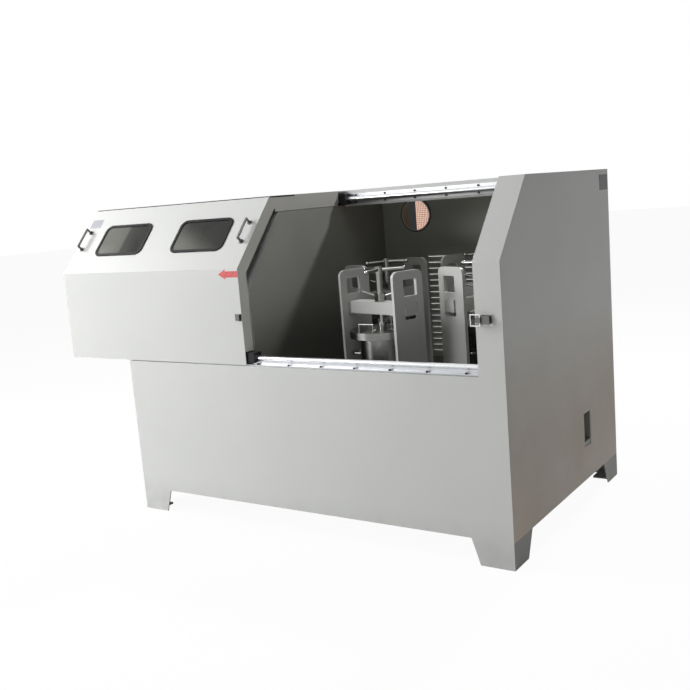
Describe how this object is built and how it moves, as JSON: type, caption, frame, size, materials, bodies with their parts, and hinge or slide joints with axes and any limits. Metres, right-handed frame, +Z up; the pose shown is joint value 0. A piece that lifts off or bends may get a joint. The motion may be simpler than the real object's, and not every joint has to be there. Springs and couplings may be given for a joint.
{
  "type": "planetary ball mill",
  "caption": "Floor-standing planetary ball mill: jars clamped in planet holders on a belt-driven turntable inside a sound enclosure, with a windowed hood that slides on rails.",
  "frame": {"origin": "middle of the footprint on the floor, with the hood slid fully open to the left", "axes": "+X to the right along the rails, towards the pillar; +Y to the rear, away from the operator; +Z up"},
  "size_m": [2.112, 1.135, 1.315],
  "materials": {
    "enamel": "satin light warm grey enamel",
    "inner_enamel": "grey enamel, satin",
    "rail_aluminium": "extruded, clear anodised",
    "ground_steel": "ground and hardened, bright",
    "black_oxide": "blackened steel",
    "port_copper": "coppery wire and ring",
    "cast_iron": "painted casting",
    "motor_paint": "satin blue grey",
    "belt_rubber": "moulded belt",
    "box_enamel": "textured powder coat",
    "stainless": "polished stainless steel",
    "tinted_glass": "grey tinted pane",
    "gasket_rubber": "moulded gasket",
    "table_steel": "machined and painted steel",
    "holder_steel": "blasted steel with bright edges",
    "jar_stainless": "turned stainless steel",
    "chromed_steel": "bright chrome"
  },
  "bodies": {
    "cabinet": {"feet": "enamel", "base_frame": "inner_enamel", "front_panel": "enamel", "right_side_panel": "enamel", "left_side_panel": "enamel", "rear_panel": "enamel", "louvre_panel": "inner_enamel", "roof_panel": "enamel", "left_compartment": "enamel", "chamber_floor": "inner_enamel", "rail_bases": "rail_aluminium", "rail_shafts": "ground_steel", "rail_screws": "black_oxide", "vent_port": "port_copper", "bearing_housing": "cast_iron", "main_bearings": "ground_steel", "sun_pulley": "cast_iron", "motor": "motor_paint", "drive_belts": "belt_rubber", "control_box": "box_enamel", "latch_base": "stainless"},
    "hood": {"hood_shell": "enamel", "hood_windows": "tinted_glass", "window_gaskets": "gasket_rubber", "hood_handles": "stainless", "hood_runners": "black_oxide", "latch_keeper": "stainless"},
    "latch_lever": {"latch_lever": "stainless"},
    "latch_bail": {"latch_bail": "stainless"},
    "motor_rotor": {"motor_pulley": "cast_iron"},
    "carrier": {"turntable": "table_steel", "main_shaft": "ground_steel", "driven_pulley": "cast_iron", "planet_housings": "cast_iron", "planet_bearings": "ground_steel", "planet_belts": "belt_rubber"},
    "station_1": {"holder_1": "holder_steel", "jar_1": "jar_stainless", "lid_1": "jar_stainless"},
    "clamp_foot_1": {"clamp_foot_1": "chromed_steel"},
    "clamp_spindle_1": {"clamp_spindle_1": "chromed_steel"},
    "lock_nut_1": {"lock_nut_1": "chromed_steel"},
    "station_2": {"holder_2": "holder_steel", "jar_2": "jar_stainless", "lid_2": "jar_stainless"},
    "clamp_foot_2": {"clamp_foot_2": "chromed_steel"},
    "clamp_spindle_2": {"clamp_spindle_2": "chromed_steel"},
    "lock_nut_2": {"lock_nut_2": "chromed_steel"},
    "station_3": {"holder_3": "holder_steel", "jar_3": "jar_stainless", "lid_3": "jar_stainless"},
    "clamp_foot_3": {"clamp_foot_3": "chromed_steel"},
    "clamp_spindle_3": {"clamp_spindle_3": "chromed_steel"},
    "lock_nut_3": {"lock_nut_3": "chromed_steel"},
    "station_4": {"holder_4": "holder_steel", "jar_4": "jar_stainless", "lid_4": "jar_stainless"},
    "clamp_foot_4": {"clamp_foot_4": "chromed_steel"},
    "clamp_spindle_4": {"clamp_spindle_4": "chromed_steel"},
    "lock_nut_4": {"lock_nut_4": "chromed_steel"}
  },
  "joints": [
    {"name": "hood_slide", "type": "slide", "parent": "cabinet", "child": "hood", "axis": [1, 0, 0], "range_m": [0, 0.996]},
    {"name": "latch_lever_turn", "type": "hinge", "parent": "cabinet", "child": "latch_lever", "pos_m": [0.97, -0.5565, 0.858], "axis": [0, 0, 1], "range_deg": [-105, 0]},
    {"name": "latch_bail_turn", "type": "hinge", "parent": "latch_lever", "child": "latch_bail", "pos_m": [0.983, -0.564, 0.858], "axis": [0, 0, 1], "range_deg": [0, 105]},
    {"name": "carrier_spin", "type": "hinge", "parent": "cabinet", "child": "carrier", "pos_m": [0.512, 0.0105, 0.452], "axis": [0, 0, 1], "continuous": true},
    {"name": "motor_spin", "type": "hinge", "parent": "cabinet", "child": "motor_rotor", "pos_m": [-0.364, 0.0105, 0.2], "axis": [0, 0, 1], "continuous": true},
    {"name": "station_1_spin", "type": "hinge", "parent": "carrier", "child": "station_1", "pos_m": [0.42378, -0.26103, 0.492], "axis": [0, 0, 1], "continuous": true},
    {"name": "clamp_slide_1", "type": "slide", "parent": "station_1", "child": "clamp_foot_1", "axis": [0, 0, 1], "range_m": [0, 0.03]},
    {"name": "spindle_turn_1", "type": "hinge", "parent": "clamp_foot_1", "child": "clamp_spindle_1", "pos_m": [0.42378, -0.26103, 1], "axis": [0, 0, 1], "range_deg": [0, 1800]},
    {"name": "lock_nut_turn_1", "type": "hinge", "parent": "clamp_spindle_1", "child": "lock_nut_1", "pos_m": [0.42378, -0.26103, 0.89], "axis": [0, 0, 1], "range_deg": [0, 180]},
    {"name": "station_2_spin", "type": "hinge", "parent": "carrier", "child": "station_2", "pos_m": [0.78353, -0.07772, 0.492], "axis": [0, 0, 1], "continuous": true},
    {"name": "clamp_slide_2", "type": "slide", "parent": "station_2", "child": "clamp_foot_2", "axis": [0, 0, 1], "range_m": [0, 0.03]},
    {"name": "spindle_turn_2", "type": "hinge", "parent": "clamp_foot_2", "child": "clamp_spindle_2", "pos_m": [0.78353, -0.07772, 1], "axis": [0, 0, 1], "range_deg": [0, 1800]},
    {"name": "lock_nut_turn_2", "type": "hinge", "parent": "clamp_spindle_2", "child": "lock_nut_2", "pos_m": [0.78353, -0.07772, 0.89], "axis": [0, 0, 1], "range_deg": [0, 180]},
    {"name": "station_3_spin", "type": "hinge", "parent": "carrier", "child": "station_3", "pos_m": [0.60022, 0.28203, 0.492], "axis": [0, 0, 1], "continuous": true},
    {"name": "clamp_slide_3", "type": "slide", "parent": "station_3", "child": "clamp_foot_3", "axis": [0, 0, 1], "range_m": [0, 0.03]},
    {"name": "spindle_turn_3", "type": "hinge", "parent": "clamp_foot_3", "child": "clamp_spindle_3", "pos_m": [0.60022, 0.28203, 1], "axis": [0, 0, 1], "range_deg": [0, 1800]},
    {"name": "lock_nut_turn_3", "type": "hinge", "parent": "clamp_spindle_3", "child": "lock_nut_3", "pos_m": [0.60022, 0.28203, 0.89], "axis": [0, 0, 1], "range_deg": [0, 180]},
    {"name": "station_4_spin", "type": "hinge", "parent": "carrier", "child": "station_4", "pos_m": [0.24047, 0.09872, 0.492], "axis": [0, 0, 1], "continuous": true},
    {"name": "clamp_slide_4", "type": "slide", "parent": "station_4", "child": "clamp_foot_4", "axis": [0, 0, 1], "range_m": [0, 0.03]},
    {"name": "spindle_turn_4", "type": "hinge", "parent": "clamp_foot_4", "child": "clamp_spindle_4", "pos_m": [0.24047, 0.09872, 1], "axis": [0, 0, 1], "range_deg": [0, 1800]},
    {"name": "lock_nut_turn_4", "type": "hinge", "parent": "clamp_spindle_4", "child": "lock_nut_4", "pos_m": [0.24047, 0.09872, 0.89], "axis": [0, 0, 1], "range_deg": [0, 180]}
  ],
  "couplings": [
    {"joint": "latch_bail_turn", "follows": "latch_lever_turn", "ratio": -1},
    {"joint": "motor_spin", "follows": "carrier_spin", "ratio": 3},
    {"joint": "station_1_spin", "follows": "carrier_spin", "ratio": -2},
    {"joint": "clamp_slide_1", "follows": "spindle_turn_1", "m_per_rad": 0.00095493},
    {"joint": "station_2_spin", "follows": "carrier_spin", "ratio": -2},
    {"joint": "clamp_slide_2", "follows": "spindle_turn_2", "m_per_rad": 0.00095493},
    {"joint": "station_3_spin", "follows": "carrier_spin", "ratio": -2},
    {"joint": "clamp_slide_3", "follows": "spindle_turn_3", "m_per_rad": 0.00095493},
    {"joint": "station_4_spin", "follows": "carrier_spin", "ratio": -2},
    {"joint": "clamp_slide_4", "follows": "spindle_turn_4", "m_per_rad": 0.00095493}
  ]
}
